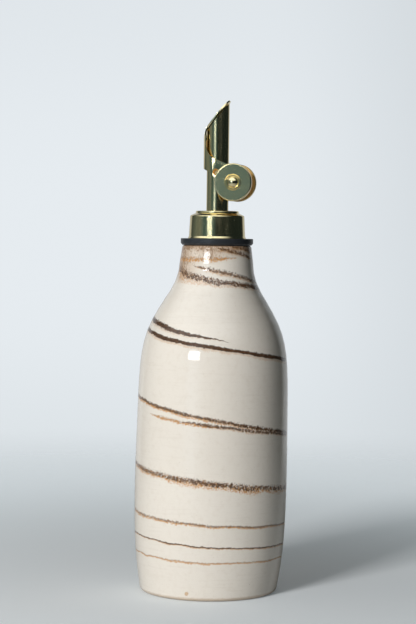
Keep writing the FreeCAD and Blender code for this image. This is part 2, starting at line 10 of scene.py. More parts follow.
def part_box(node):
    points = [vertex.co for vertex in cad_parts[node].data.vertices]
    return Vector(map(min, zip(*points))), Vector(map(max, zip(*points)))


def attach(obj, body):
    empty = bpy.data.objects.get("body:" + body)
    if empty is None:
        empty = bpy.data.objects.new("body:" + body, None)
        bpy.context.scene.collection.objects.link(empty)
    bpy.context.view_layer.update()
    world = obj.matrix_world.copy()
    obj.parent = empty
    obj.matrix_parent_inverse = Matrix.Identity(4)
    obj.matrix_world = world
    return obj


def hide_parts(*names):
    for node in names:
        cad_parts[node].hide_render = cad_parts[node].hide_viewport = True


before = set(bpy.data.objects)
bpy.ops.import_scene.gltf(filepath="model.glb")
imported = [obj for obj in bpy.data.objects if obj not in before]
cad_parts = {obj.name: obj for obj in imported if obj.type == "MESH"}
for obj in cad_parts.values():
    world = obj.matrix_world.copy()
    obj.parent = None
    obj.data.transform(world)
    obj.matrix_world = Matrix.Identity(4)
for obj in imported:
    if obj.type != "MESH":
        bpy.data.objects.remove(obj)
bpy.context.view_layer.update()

bl_info = {
    "name": "Clay Oil Bottle",
    "version": (1, 0, 0),
    "blender": (4, 5, 0),
    "location": "3D View > Sidebar > Oil Bottle",
    "description": "Finishes a clay oil bottle with a brass pouring spout on its packed frame",
    "category": "Object",
}

MM = 0.001
TURN = 2 * math.pi
BOTTLE_BODY = "dispenser"
FLAP_BODY = "pouring_flap"


# ------------------------------------------------------------------ what the frame says

def node_box(name):
    """Lowest and highest corner of a node of the frame."""
    low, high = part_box(name)
    return low, high


TUBE_LOW, TUBE_HIGH = node_box("spout_tube")
RIM_HEIGHT = node_box("bottle")[1].z
POURER_X = (TUBE_LOW.x + TUBE_HIGH.x) / 2
LEAN = POURER_X / RIM_HEIGHT
DISC_INNER = node_box("weight_far")[0].y
# The flap's bent sheet: the discs lie against its outside, and its strip ends at the bend under the lid.
SHEET_OUT = DISC_INNER
SHEET = 0.75 * MM
BEND_DROP = 17.5 * MM
STRIP_TOP = TUBE_HIGH.z - BEND_DROP


# ------------------------------------------------------------------ settings

# Control points of the thrown body's outline, in millimetres: radius and height, from the foot up.
OUTLINE = [(32.4, -1), (35.9, 14), (37.0, 45), (36.2, 85), (35.8, 118), (28.8, 133), (23.6, 141), (17.0, 152),
           (16.6, 167)]
# The slight swelling under the rim, in millimetres: its height, how far it reaches up and down, and how much.
NECK_SWELL = (158.5, 6.0, 0.35)
# Foot and inside of the wall, in millimetres.
FOOT_HOLLOW = 0.3
FOOT_RING_INNER, FOOT_RING, FOOT_RING_OUTER = 24, 27, 30
FOOT_RADIUS, FOOT_ROUND = 32.9, 2.2
RIM_RADIUS, LIP_ROUND, MOUTH_ROUND = 16.62, 1.5, 0.8
FLOOR, FLOOR_ROUND = 6, 4.0
BORE_LOW, BORE_ROUND = 152, 2.0
INSIDE_LOW, INSIDE_HIGH = 10, 148
# Mesh of the thrown body.
OUTLINE_STEPS = 90
SEGMENTS = 192
SEED = 7.0


class ClaySettings(bpy.types.PropertyGroup):
    """Sizes and colours of the glazed clay."""

    wall: bpy.props.FloatProperty(
        name="Wall", description="Thickness of the clay", subtype="DISTANCE", default=4.6 * MM, min=0.001)
    mouth_radius: bpy.props.FloatProperty(
        name="Mouth", description="Radius of the mouth", subtype="DISTANCE", default=11 * MM, min=0.001)
    ring_pitch: bpy.props.FloatProperty(
        name="Throwing rings", description="From one throwing ring to the next", subtype="DISTANCE",
        default=5.5 * MM, min=0.001)
    ring_depth: bpy.props.FloatProperty(
        name="Ring depth", description="Depth of the throwing rings", subtype="DISTANCE",
        default=0.04 * MM, min=0)
    unevenness: bpy.props.FloatProperty(
        name="Unevenness", description="How far the hand-thrown wall strays", subtype="DISTANCE",
        default=0.12 * MM, min=0)
    clay: bpy.props.FloatVectorProperty(
        name="Clay", description="Glazed cream clay", subtype="COLOR",
        default=(0.80, 0.735, 0.65), min=0, max=1)
    dark_line: bpy.props.FloatVectorProperty(
        name="Dark line", description="Core of the darker clay that winds round the body", subtype="COLOR",
        default=(0.046, 0.027, 0.017), min=0, max=1)
    brown_line: bpy.props.FloatVectorProperty(
        name="Brown line", description="Lighter grains in the core of that clay", subtype="COLOR",
        default=(0.150, 0.076, 0.040), min=0, max=1)
    rust_line: bpy.props.FloatVectorProperty(
        name="Rust fringe", description="Rusty lower edge of that clay", subtype="COLOR",
        default=(0.57, 0.29, 0.105), min=0, max=1)
    smear: bpy.props.FloatVectorProperty(
        name="Smear", description="Dark clay smeared thinly round the neck", subtype="COLOR",
        default=(0.46, 0.29, 0.165), min=0, max=1)
    glaze_roughness: bpy.props.FloatProperty(
        name="Glaze roughness", description="Roughness of the glaze", default=0.06, min=0, max=1)


class BrassSettings(bpy.types.PropertyGroup):
    """Colour and polish of the brass."""

    brass: bpy.props.FloatVectorProperty(
        name="Brass", description="Polished pale brass", subtype="COLOR",
        default=(0.88, 0.74, 0.42), min=0, max=1)
    # Painted reflection: the deep orange of brass mirrored in brass, laid on cut edges and inner faces that
    # are also duller.
    dull_brass_reflection: bpy.props.FloatVectorProperty(
        name="Dull brass", description="Cut edges and faces that were never polished", subtype="COLOR",
        default=(0.80, 0.50, 0.17), min=0, max=1)
    turned_roughness: bpy.props.FloatProperty(
        name="Turned roughness", description="Roughness of the cap and the tube", default=0.18, min=0, max=1)
    stamped_roughness: bpy.props.FloatProperty(
        name="Stamped roughness", description="Roughness of flap, discs and rivet",
        default=0.15, min=0, max=1)


class StageSettings(bpy.types.PropertyGroup):
    """Camera, lamps and floor."""

    view_side: bpy.props.FloatProperty(
        name="View from the side", description="Camera's turn about the upright axis", subtype="ANGLE",
        default=math.radians(9))
    view_distance: bpy.props.FloatProperty(
        name="View distance", description="Camera to the middle of the foot, level", subtype="DISTANCE",
        default=0.9)
    eye_height: bpy.props.FloatProperty(
        name="Eye height", description="Camera above the table", subtype="DISTANCE", default=0.1732)
    look_down: bpy.props.FloatProperty(
        name="Look down", description="Camera's tilt below level", subtype="ANGLE", default=math.radians(2.5))
    roll: bpy.props.FloatProperty(
        name="Roll", description="Camera's turn about its own line of sight", subtype="ANGLE",
        default=math.radians(0.7))
    key_side: bpy.props.FloatProperty(
        name="Key side", description="Bearing of the key lamp from the camera", subtype="ANGLE",
        default=math.radians(-32))
    key_height: bpy.props.FloatProperty(
        name="Key height", description="Rise of the key lamp above level", subtype="ANGLE",
        default=math.radians(21))
    window_height: bpy.props.FloatProperty(
        name="Window height", description="Rise above level of the small bright window in reflections",
        subtype="ANGLE", default=math.radians(14))
    focal_length: bpy.props.FloatProperty(
        name="Focal length", description="Lens, in millimetres", default=108.2, min=10)


# ------------------------------------------------------------------ shader building

class Amount:
    """A shader socket that can be used in sums: each operator adds a Math node."""

    def __init__(self, shader, socket):
        self.shader = shader
        self.socket = socket

    def math(self, operation, *others):
        return self.shader.math(operation, self, *others)

    def __add__(self, other):
        return self.math("ADD", other)

    def __sub__(self, other):
        return self.math("SUBTRACT", other)

    def __rsub__(self, other):
        return self.shader.math("SUBTRACT", other, self)

    def __mul__(self, other):
        return self.math("MULTIPLY", other)

    def __truediv__(self, other):
        return self.math("DIVIDE", other)

    def __rtruediv__(self, other):
        return self.shader.math("DIVIDE", other, self)

    def __abs__(self):
        return self.math("ABSOLUTE")

    __radd__ = __add__
    __rmul__ = __mul__


class Shader:
    """Node tree of one material or of the world."""

    def __init__(self, owner):
        owner.use_nodes = True
        self.tree = owner.node_tree
        self.tree.nodes.clear()

    def node(self, kind, settings=None, inputs=None):
        """Add a node, set its settings first, then the values or links of its sockets."""
        made = self.tree.nodes.new(kind)
        for name, value in (settings or {}).items():
            setattr(made, name, value)
        for name, value in (inputs or {}).items():
            self.feed(made.inputs[name], value)
        return made

    def feed(self, socket, value):
        if isinstance(value, Amount):
            value = value.socket
        if isinstance(value, bpy.types.NodeSocket):
            self.tree.links.new(value, socket)
        else:
            socket.default_value = value

    def math(self, operation, *values):
        made = self.node("ShaderNodeMath", {"operation": operation}, dict(enumerate(values)))
        return Amount(self, made.outputs[0])

    def vector(self, operation, *values):
        made = self.node("ShaderNodeVectorMath", {"operation": operation}, dict(enumerate(values)))
        return made.outputs[0]

    def blend(self, share, first, second):
        """Mix two colours."""
        made = self.node("ShaderNodeMix", {"data_type": "RGBA"})
        self.feed(made.inputs[0], share)
        self.feed(made.inputs[6], first)
        self.feed(made.inputs[7], second)
        return made.outputs[2]

    def smooth(self, value, low, high, start=0.0, end=1.0):
        """Ease from start to end as the value goes from low to high."""
        made = self.node("ShaderNodeMapRange", {"interpolation_type": "SMOOTHSTEP"}, {
            "Value": value, "From Min": low, "From Max": high, "To Min": start, "To Max": end})
        return Amount(self, made.outputs[0])

    def noise(self, place, scale, detail=2.0, roughness=0.5):
        made = self.node("ShaderNodeTexNoise", None, {
            "Vector": place, "Scale": scale, "Detail": detail, "Roughness": roughness})
        return Amount(self, made.outputs["Fac"])

    def stretch(self, place, factors):
        """Scale a place along its own axes, so that a pattern on it is drawn out."""
        return self.vector("MULTIPLY", place, factors)

    def spot(self, place, middle, radius):
        """One at a point, easing to nothing at the given distance from it."""
        made = self.node("ShaderNodeVectorMath", {"operation": "DISTANCE"}, {0: place, 1: middle})
        return self.smooth(Amount(self, made.outputs["Value"]), 0.0, radius, 1, 0)

    def curve(self, value, points):
        """Read a smooth curve given as (position, amount) pairs between 0 and 1."""
        made = self.node("ShaderNodeFloatCurve", None, {"Value": value})
        line = made.mapping.curves[0]
        while len(line.points) < len(points):
            line.points.new(0.5, 0.5)
        for spot, (position, amount) in zip(line.points, points):
            spot.location = (position, amount)
        made.mapping.update()
        return Amount(self, made.outputs[0])

    def place(self):
        """Object coordinates, and their three parts."""
        where = self.node("ShaderNodeTexCoord").outputs["Object"]
        parts = self.node("ShaderNodeSeparateXYZ", None, {"Vector": where})
        return where, [Amount(self, part) for part in parts.outputs]

    def finish(self, surface, bump=None):
        """One Principled surface; colour-like inputs may be links, the rest are plain numbers."""
        settings = dict(surface)
        if bump is not None:
            settings["Normal"] = bump
        made = self.node("ShaderNodeBsdfPrincipled", None, settings)
        self.node("ShaderNodeOutputMaterial", None, {"Surface": made.outputs[0]})

    def bump(self, height, distance, under=None):
        """A normal raised by a height, over the relief given as under."""
        inputs = {"Height": height, "Distance": distance, "Strength": 1.0}
        if under is not None:
            inputs["Normal"] = under
        return self.node("ShaderNodeBump", None, inputs).outputs[0]


def new_material(name):
    made = bpy.data.materials.new(name)
    return made, Shader(made)


def opaque(colour):
    return (*colour[:3], 1.0)


# ------------------------------------------------------------------ materials

# Colours in the clay beside those of the settings.
PALE_CLOUD = (0.58, 0.48, 0.37)
TURNING_MARK = (0.52, 0.43, 0.33)
CLAY_FLECK = (0.45, 0.36, 0.27)
DARK_DOT = (0.20, 0.12, 0.07)
SMEAR_SPECK = (0.20, 0.105, 0.05)
CHIPPED_CLAY = (0.52, 0.30, 0.13)
FOOT_EDGE = (0.50, 0.35, 0.22)
BARE_FOOT = (0.62, 0.53, 0.42)

# The winding line of dark clay from the neck down: turns, and height in millimetres.
LINE_TOP = 0.170
LINE = [(0, 156.4), (0.2, 150.0), (0.5, 144.6), (1, 126.6), (1.5, 110.8), (2, 95.0), (2.5, 76.0), (3, 62.2),
        (3.5, 49.6), (4, 39.9), (4.5, 33.4), (5, 28.8), (5.5, 23.6), (6, 20.2), (6.5, 17.6), (7, 15.8)]
LINE_TURNS = LINE[-1][0]
# How the line changes on its way down, as (turns, amount): width in millimetres, how far its grains stray,
# how much orange clay lies under it, and how solid its dark part is.
LINE_WIDTH = [(0, 1.7), (0.2, 2.0), (0.7, 1.9), (1, 1.7), (1.5, 1.7), (2, 1.2), (2.4, 1.2), (3, 1.3),
              (3.3, 1.7), (3.8, 1.2), (4.2, 0.72), (5, 0.62), (6, 0.55), (7, 0.35)]
LINE_FUZZ = [(0, 1.0), (0.15, 0.9), (0.45, 0.65), (0.8, 0.4), (1, 0.28), (1.6, 0.3), (2.1, 0.6), (2.5, 0.8),
             (3.1, 0.9), (3.6, 1.0), (4.0, 0.9), (4.5, 0.5), (5.5, 0.3), (7, 0.45)]
LINE_RUST = [(0, 0.7), (0.4, 0.5), (0.8, 0.4), (1.2, 0.35), (1.7, 0.4), (2.1, 1.0), (2.5, 0.5), (3.1, 1.0),
             (3.35, 1.0), (3.6, 0.5), (4.1, 1.0), (4.6, 0.7), (5.3, 0.7), (6, 0.8), (7, 0.7)]
LINE_DARK = [(0, 0.75), (0.15, 0.9), (0.35, 1.0), (0.9, 1.0), (1.8, 1.0), (2.1, 0.8), (2.5, 1.0),
             (3.05, 0.75), (3.3, 0.95), (3.6, 0.95), (4.1, 0.6), (4.6, 0.62), (5.2, 0.8), (5.9, 0.4),
             (6.1, 0.22), (7, 0.22)]
# Where round the neck the smear is thickest, as a part of a turn.
BLOOM_TURN = 0.03
# Middle of the small chip just above the foot, in metres.
CHIP = (-0.0050, -0.0336, 0.0036)
CHIP_RADIUS = 1.9 * MM
# Shorter strands beside the main line: turn and height at each end, width, how rusty they are and how their
# grains stray, and the part of a turn over which each end thins out.
STROKES = [
    dict(start=(-0.16, 137.5), end=(0.31, 120.4), width=2.0, rusty=0.25, fuzz=0.28, tail=0.17),
    dict(start=(0.17, 84.7), end=(0.52, 74.9), width=1.1, rusty=0.5, fuzz=0.75, tail=0.06),
    dict(start=(0.09, 86.9), end=(0.28, 81.5), width=1.0, rusty=1.6, fuzz=0.85, tail=0.05),
    dict(start=(0.13, 156.9), end=(0.50, 147.4), width=1.4, rusty=0.6, fuzz=0.85, tail=0.09),
    dict(start=(-0.06, 159.0), end=(0.36, 160.2), width=1.2, rusty=1.5, fuzz=1.0, tail=0.10),
    dict(start=(0.24, 164.9), end=(0.45, 159.7), width=1.1, rusty=0.6, fuzz=0.9, tail=0.04),
    dict(start=(0.30, 165.6), end=(0.52, 161.8), width=0.9, rusty=0.5, fuzz=0.9, tail=0.04),
    dict(start=(0.52, 101.5), end=(0.80, 91.5), width=1.2, rusty=0.7, fuzz=0.4, tail=0.06),
    dict(start=(0.60, 47.2), end=(0.86, 42.6), width=0.8, rusty=1.0, fuzz=0.6, tail=0.06),
]


def line_distance(shader, turn, height):
    """Height below the winding line, in metres, and how many turns down it is."""
    points = [(0.0, 1.0)] + [(level * MM / LINE_TOP, turns / LINE_TURNS) for turns, level in reversed(LINE)]
    small = 0.0005
    down = shader.curve(height / LINE_TOP, points) * LINE_TURNS
    lower = shader.curve((height - small) / LINE_TOP, points) * LINE_TURNS
    per_metre = (lower - down).math("MAXIMUM", 0.00005) / small
    offset = (down - turn + 0.5).math("FRACT") - 0.5
    return offset / per_metre, down - offset


def along_line(shader, share, points):
    """An amount that changes along the winding line, given as (turns, amount)."""
    largest = max(amount for turns, amount in points)
    return shader.curve(share, [(turns / LINE_TURNS, amount / largest) for turns, amount in points]) * largest


def stain(shader, below, half, fuzz, grain):
    """Where grains of dark clay lie, with more stray grains above the line than below it."""
    upper = below * -1 / (half * (fuzz * 1.1 + 1))
    lower = below / (half * (fuzz * 0.4 + 1))
    density = shader.smooth(upper.math("MAXIMUM", lower), 0.1, 1.7, 1, 0) * (1 - fuzz * 0.34)
    grainy = density + (grain - 0.5) * (fuzz * 2.6 + 0.9)
    return shader.smooth(grainy, 0.38, 0.62) * shader.smooth(density, 0.03, 0.2)


def clay_material(settings):
    """Glazed cream clay with a line of darker clay that winds down it, and shorter strands beside that."""
    made, shader = new_material("glazed_clay")
    where, (x, y, z) = shader.place()
    lean_x = x - z * LEAN
    side = bpy.context.scene.stage_settings.view_side
    # Turn: 0 on the left of the usual view, a quarter at its front, half on the right.
    bearing = shader.math("ARCTAN2", y * -1.0, lean_x * -1.0) / TURN
    turn = (bearing - side / TURN).math("FRACT")

    wide = shader.noise(where, 90, 3)
    fine = shader.noise(where, 800, 4, 0.65)
    grain = shader.noise(shader.stretch(where, (1, 1, 0.6)), 1600, 4, 0.72)
    flecks = shader.noise(shader.stretch(where, (1, 1, 0.8)), 1900, 4, 0.68)
    wobble = (wide - 0.5) * 0.0020 + (fine - 0.5) * 0.0014
    below, turns_down = line_distance(shader, turn, z + wobble)

    share = turns_down / LINE_TURNS
    present = shader.smooth(share, 0.002, 0.006) * shader.smooth(share, 0.955, 0.985, 1, 0)
    half = along_line(shader, share, LINE_WIDTH) * ((wide - 0.5) * 0.9 + 1) * (MM / 2)
    fuzz = along_line(shader, share, LINE_FUZZ)
    dark = stain(shader, below, half, fuzz, grain) * present
    rust = stain(shader, below - half * 1.15, half * 1.15, fuzz + 0.2, flecks) * present
    rust = rust * along_line(shader, share, LINE_RUST)
    dark = dark * along_line(shader, share, LINE_DARK)

    for stroke in STROKES:
        core, fringe = stroke_masks(shader, turn, z + wobble, grain, flecks, **stroke)
        dark = dark.math("MAXIMUM", core)
        rust = rust.math("MAXIMUM", fringe)

    # Round the neck the dark clay is smeared out: thick under the rim, and down one side of the neck.
    under_rim = shader.smooth(z + (wide - 0.5) * 0.012, 0.1575, 0.1650)
    sideways = abs((turn - BLOOM_TURN + 0.5).math("FRACT") - 0.5)
    bloom = shader.smooth(sideways, 0.03, 0.19, 1, 0)
    bloom = bloom * shader.smooth(z + (wide - 0.5) * 0.006, 0.1475, 0.1540) * 0.66
    smear = (under_rim * 0.80).math("MAXIMUM", bloom)
    wash = smear * (fine * 1.1 + 0.45)
    specks = shader.smooth(smear + (grain - 0.5) * 3.0, 0.48, 0.82)

    pale = shader.noise(where, 420, 3, 0.6)
    turning = shader.noise(shader.stretch(where, (0.06, 0.06, 1)), 950, 3, 0.6)
    cloud = shader.noise(where, 38, 2)
    clay = shader.blend(cloud, opaque([part * 0.965 for part in settings.clay]), opaque(settings.clay))
    clay = shader.blend(shader.smooth(pale, 0.45, 0.8) * 0.16, clay, opaque(PALE_CLOUD))
    clay = shader.blend(shader.smooth(turning, 0.52, 0.72) * 0.10, clay, opaque(TURNING_MARK))
    clay = shader.blend(shader.smooth(flecks, 0.56, 0.76) * 0.20, clay, opaque(CLAY_FLECK))

    dots = fleck_mask(shader, where, 210.0, 0.90) * 0.4
    dots = dots.math("MAXIMUM", fleck_mask(shader, where, 95.0, 0.95) * 0.7)

    colour = shader.blend(dots, clay, opaque(DARK_DOT))
    colour = shader.blend(wash, colour, opaque(settings.smear))
    colour = shader.blend(specks * 0.72, colour, opaque(SMEAR_SPECK))
    colour = shader.blend(rust * (flecks * 0.6 + 0.65), colour, opaque(settings.rust_line))
    lighter = shader.smooth(flecks + fuzz * 0.06, 0.44, 0.62)
    ink = shader.blend(lighter, opaque(settings.dark_line), opaque(settings.brown_line))
    colour = shader.blend((dark * 1.1).math("MINIMUM", 1.0), colour, ink)

    chip = shader.smooth(shader.spot(where, CHIP, CHIP_RADIUS) + (fine - 0.5) * 0.9, 0.35, 0.5)
    colour = shader.blend(chip * 0.7, colour, opaque(CHIPPED_CLAY))
    foot_edge = shader.smooth(z + (fine - 0.5) * 0.001, 0.0010, 0.0022, 1, 0)
    colour = shader.blend(foot_edge * 0.55, colour, opaque(FOOT_EDGE))
    foot = shader.smooth(z, 0.0002, 0.0006, 1, 0)
    colour = shader.blend(foot, colour, opaque(BARE_FOOT))
    roughness = settings.glaze_roughness + (pale - 0.5) * 0.05 + foot * 0.6

    relief = shader.bump(cloud * 3.0 + pale * 0.2 + turning * 0.07, 0.00004)
    relief = shader.bump(grain * 0.3 + dark * 0.7, 0.000007, under=relief)
    shader.finish({"Base Color": colour, "Roughness": roughness, "IOR": 1.52}, relief)
    return made


def fleck_mask(shader, where, scale, rarity):
    """Scattered small dots, each of its own size."""
    cells = shader.node("ShaderNodeTexVoronoi", None, {"Vector": where, "Scale": scale})
    pick = shader.node("ShaderNodeSeparateXYZ", None, {"Vector": cells.outputs["Color"]})
    chosen = Amount(shader, pick.outputs[0]).math("GREATER_THAN", rarity)
    size = Amount(shader, pick.outputs[1]) * (scale * 0.00024) + scale * 0.0001
    return shader.smooth(Amount(shader, cells.outputs["Distance"]), size * 0.5, size, 1, 0) * chosen


def stroke_masks(shader, turn, height, grain, flecks, start, end, width, rusty, fuzz, tail):
    """Core and rusty fringe of one short strand, thinning out over the given part of a turn at each end."""
    middle = (start[0] + end[0]) / 2
    reach = (end[0] - start[0]) / 2
    along = (turn - middle + 0.5).math("FRACT") - 0.5
    line = (along / reach) * ((end[1] - start[1]) / 2 * MM) + (start[1] + end[1]) / 2 * MM
    taper = shader.smooth(abs(along), reach - tail, reach, 1, 0)
    half = taper * (width * MM / 2) + 0.00001
    below = line - height
    present = shader.smooth(taper, 0.02, 0.15)
    core = stain(shader, below, half, Amount(shader, fuzz), grain) * present * max(1.1 - 0.55 * rusty, 0)
    fringe = stain(shader, below - half * 0.9, half, Amount(shader, fuzz), flecks) * present * min(rusty, 1)
    return core, fringe


def brass_material(name, settings, roughness, turned=False, dull_and_reflecting=None):
    """Polished brass: an uneven polish and fine scratches, or the grooves of the lathe on a turned piece.

    The faces picked out by the mask are rougher, and their deeper orange colour is a painted reflection of
    the brass that they face.
    """
    made, shader = new_material(name)
    where, (x, y, z) = shader.place()
    cloud = shader.noise(where, 160, 3)
    scratch = shader.noise(shader.stretch(where, (1, 1, 14) if turned else (9, 1, 3)), 420, 4, 0.7)
    speck = shader.smooth(shader.noise(where, 1800, 2), 0.68, 0.78)
    colour = shader.blend(cloud, opaque(settings.brass), opaque([part * 0.93 for part in settings.brass]))
    rough = roughness + (cloud - 0.5) * 0.08 + shader.smooth(scratch, 0.5, 0.9) * 0.08 + speck * 0.12
    surface = {"Base Color": colour, "Roughness": rough, "Metallic": 1.0}
    # Painted reflection: where brass faces brass the colour turns deep orange; the surface is also made
    # rougher there.
    if dull_and_reflecting is not None:
        share = dull_and_reflecting(shader, x, y, z)
        surface["Base Color"] = shader.blend(share, colour, opaque(settings.dull_brass_reflection))
        surface["Roughness"] = rough + share * 0.25
        surface["Metallic"] = 1 - share * 0.55
    if turned:
        streaks = shader.noise(shader.stretch(where, (1, 1, 0.03)), 650, 3, 0.6)
        surface["Base Color"] = shader.blend(
            shader.smooth(streaks, 0.35, 0.7), opaque([part * 0.80 for part in settings.brass]), colour)
        surface["Roughness"] = rough + (streaks - 0.5) * 0.25
        surface.update({"Anisotropic": 0.75, "Anisotropic Rotation": 0.25})
    shader.finish(surface, shader.bump(scratch, 0.000004))
    return made


def sheet_edges(shader, x, y, z):
    """One on the cut edges and the inner face of the bent sheet, below the lid, where a painted orange
    reflection of the tube goes.
    """
    behind = (x - POURER_X).math("MINIMUM", 0.0)
    depth = (behind * behind + y * y).math("SQRT")
    margin = SHEET * 0.12
    inside = shader.smooth(depth, SHEET_OUT - margin * 2, SHEET_OUT - margin, 1, 0)
    pressed = shader.smooth(depth, SHEET_OUT - SHEET * 1.5, SHEET_OUT - SHEET, 0.45, 1)
    return inside * pressed * shader.smooth(z, STRIP_TOP - margin, STRIP_TOP, 1, 0)


def disc_inside(shader, x, y, z):
    """One on the faces by which the two discs look at each other, where their painted orange reflection of
    each other goes.
    """
    return shader.smooth(abs(y), DISC_INNER + 0.0001, DISC_INNER + 0.0002, 1, 0)


def rubber_material():
    """Black rubber with a fine moulded grain and a little dust."""
    made, shader = new_material("black_rubber")
    where, (x, y, z) = shader.place()
    grain = shader.noise(where, 1500, 3, 0.6)
    dust = shader.smooth(shader.noise(where, 220, 4, 0.7), 0.55, 0.8)
    colour = shader.blend(dust * 0.35, (0.021, 0.023, 0.027, 1), (0.055, 0.058, 0.064, 1))
    roughness = 0.42 + (grain - 0.5) * 0.2
    shader.finish({"Base Color": colour, "Roughness": roughness}, shader.bump(grain, 0.00002))
    return made


def paint(item, material):
    """Give a piece one material."""
    item.data.materials.clear()
    item.data.materials.append(material)


# ------------------------------------------------------------------ thrown body

def clamped_basis(count, order, share):
    """Weight of each control point of a smooth curve at a share of its length, by the usual recursion."""
    spans = count - order + 1
    knots = [0.0] * order + [step / spans for step in range(1, spans)] + [1.0] * order
    share = min(share, 1 - 1e-9)
    weights = [1.0 if knots[step] <= share < knots[step + 1] else 0.0 for step in range(len(knots) - 1)]
    for degree in range(1, order):
        for step in range(len(knots) - 1 - degree):
            left = knots[step + degree] - knots[step]
            right = knots[step + degree + 1] - knots[step + 1]
            first = (share - knots[step]) / left * weights[step] if left else 0.0
            second = (knots[step + degree + 1] - share) / right * weights[step + 1] if right else 0.0
            weights[step] = first + second
    return weights[:count]


def outline_point(share):
    weights = clamped_basis(len(OUTLINE), 4, share)
    radius = sum(weight * point[0] for weight, point in zip(weights, OUTLINE))
    height = sum(weight * point[1] for weight, point in zip(weights, OUTLINE))
    return radius, height


def rounded(corner, before, after, radius, steps=5):
    """Points of a rounded corner between two directions."""
    corner = Vector(corner)
    start = corner + (Vector(before) - corner).normalized() * radius
    end = corner + (Vector(after) - corner).normalized() * radius
    points = []
    for step in range(steps + 1):
        share = step / steps
        points.append(start.lerp(corner, share).lerp(corner.lerp(end, share), share))
    return points


def neck_swell(height):
    """How far the neck swells out under the rim, in millimetres."""
    middle, reach, amount = NECK_SWELL
    away = min(abs(height - middle) / reach, 1)
    return amount * (1 - away * away) ** 2


def wall_profile(settings):
    """Radius and height, in metres, along the foot, up the outside, over the rim and down the inside."""
    wall, mouth = settings.wall / MM, settings.mouth_radius / MM
    rim = RIM_HEIGHT / MM
    outside = [Vector(outline_point(step / OUTLINE_STEPS)) for step in range(OUTLINE_STEPS + 1)]
    outside = [Vector((point.x + neck_swell(point.y), point.y))
               for point in outside if 2.2 < point.y < rim - 1.6]
    inside = [Vector((point.x - wall, point.y))
              for point in reversed(outside[::4]) if INSIDE_LOW < point.y < INSIDE_HIGH]
    hollow, ring = (FOOT_RING_INNER, FOOT_HOLLOW), (FOOT_RING, 0)
    foot_corner, rim_corner = (FOOT_RADIUS, 0), (RIM_RADIUS, rim)
    mouth_top, mouth_low = (mouth, rim), (mouth, BORE_LOW)
    points = [Vector((0, FOOT_HOLLOW)), Vector(hollow)]
    points += rounded(ring, hollow, (FOOT_RING_OUTER, 0), 1.2)
    points += rounded(foot_corner, ring, outside[0], FOOT_ROUND)
    points += outside
    points += rounded(rim_corner, outside[-1], mouth_top, LIP_ROUND)
    points += rounded(mouth_top, rim_corner, mouth_low, MOUTH_ROUND)
    points += rounded(mouth_low, mouth_top, inside[0], BORE_ROUND)
    points += inside
    points += rounded((inside[-1].x, FLOOR), inside[-1], (0, FLOOR), FLOOR_ROUND)
    points += [Vector((0, FLOOR))]
    return [(point.x * MM, point.y * MM) for point in points]


class GeometryTree:
    """Builds one Geometry Nodes tree, one node at a time."""

    def __init__(self, name):
        self.tree = bpy.data.node_groups.new(name, "GeometryNodeTree")
        self.sockets = {}

    def value(self, name, kind, default=None):
        socket = self.tree.interface.new_socket(name, in_out="INPUT", socket_type=kind)
        if default is not None:
            socket.default_value = default
        self.sockets[name] = socket

    def node(self, kind, settings=None, inputs=None):
        made = self.tree.nodes.new(kind)
        for name, value in (settings or {}).items():
            setattr(made, name, value)
        for name, value in (inputs or {}).items():
            if isinstance(value, bpy.types.NodeSocket):
                self.tree.links.new(value, made.inputs[name])
            else:
                made.inputs[name].default_value = value
        return made

    def math(self, operation, *values):
        return self.node("ShaderNodeMath", {"operation": operation}, dict(enumerate(values))).outputs[0]


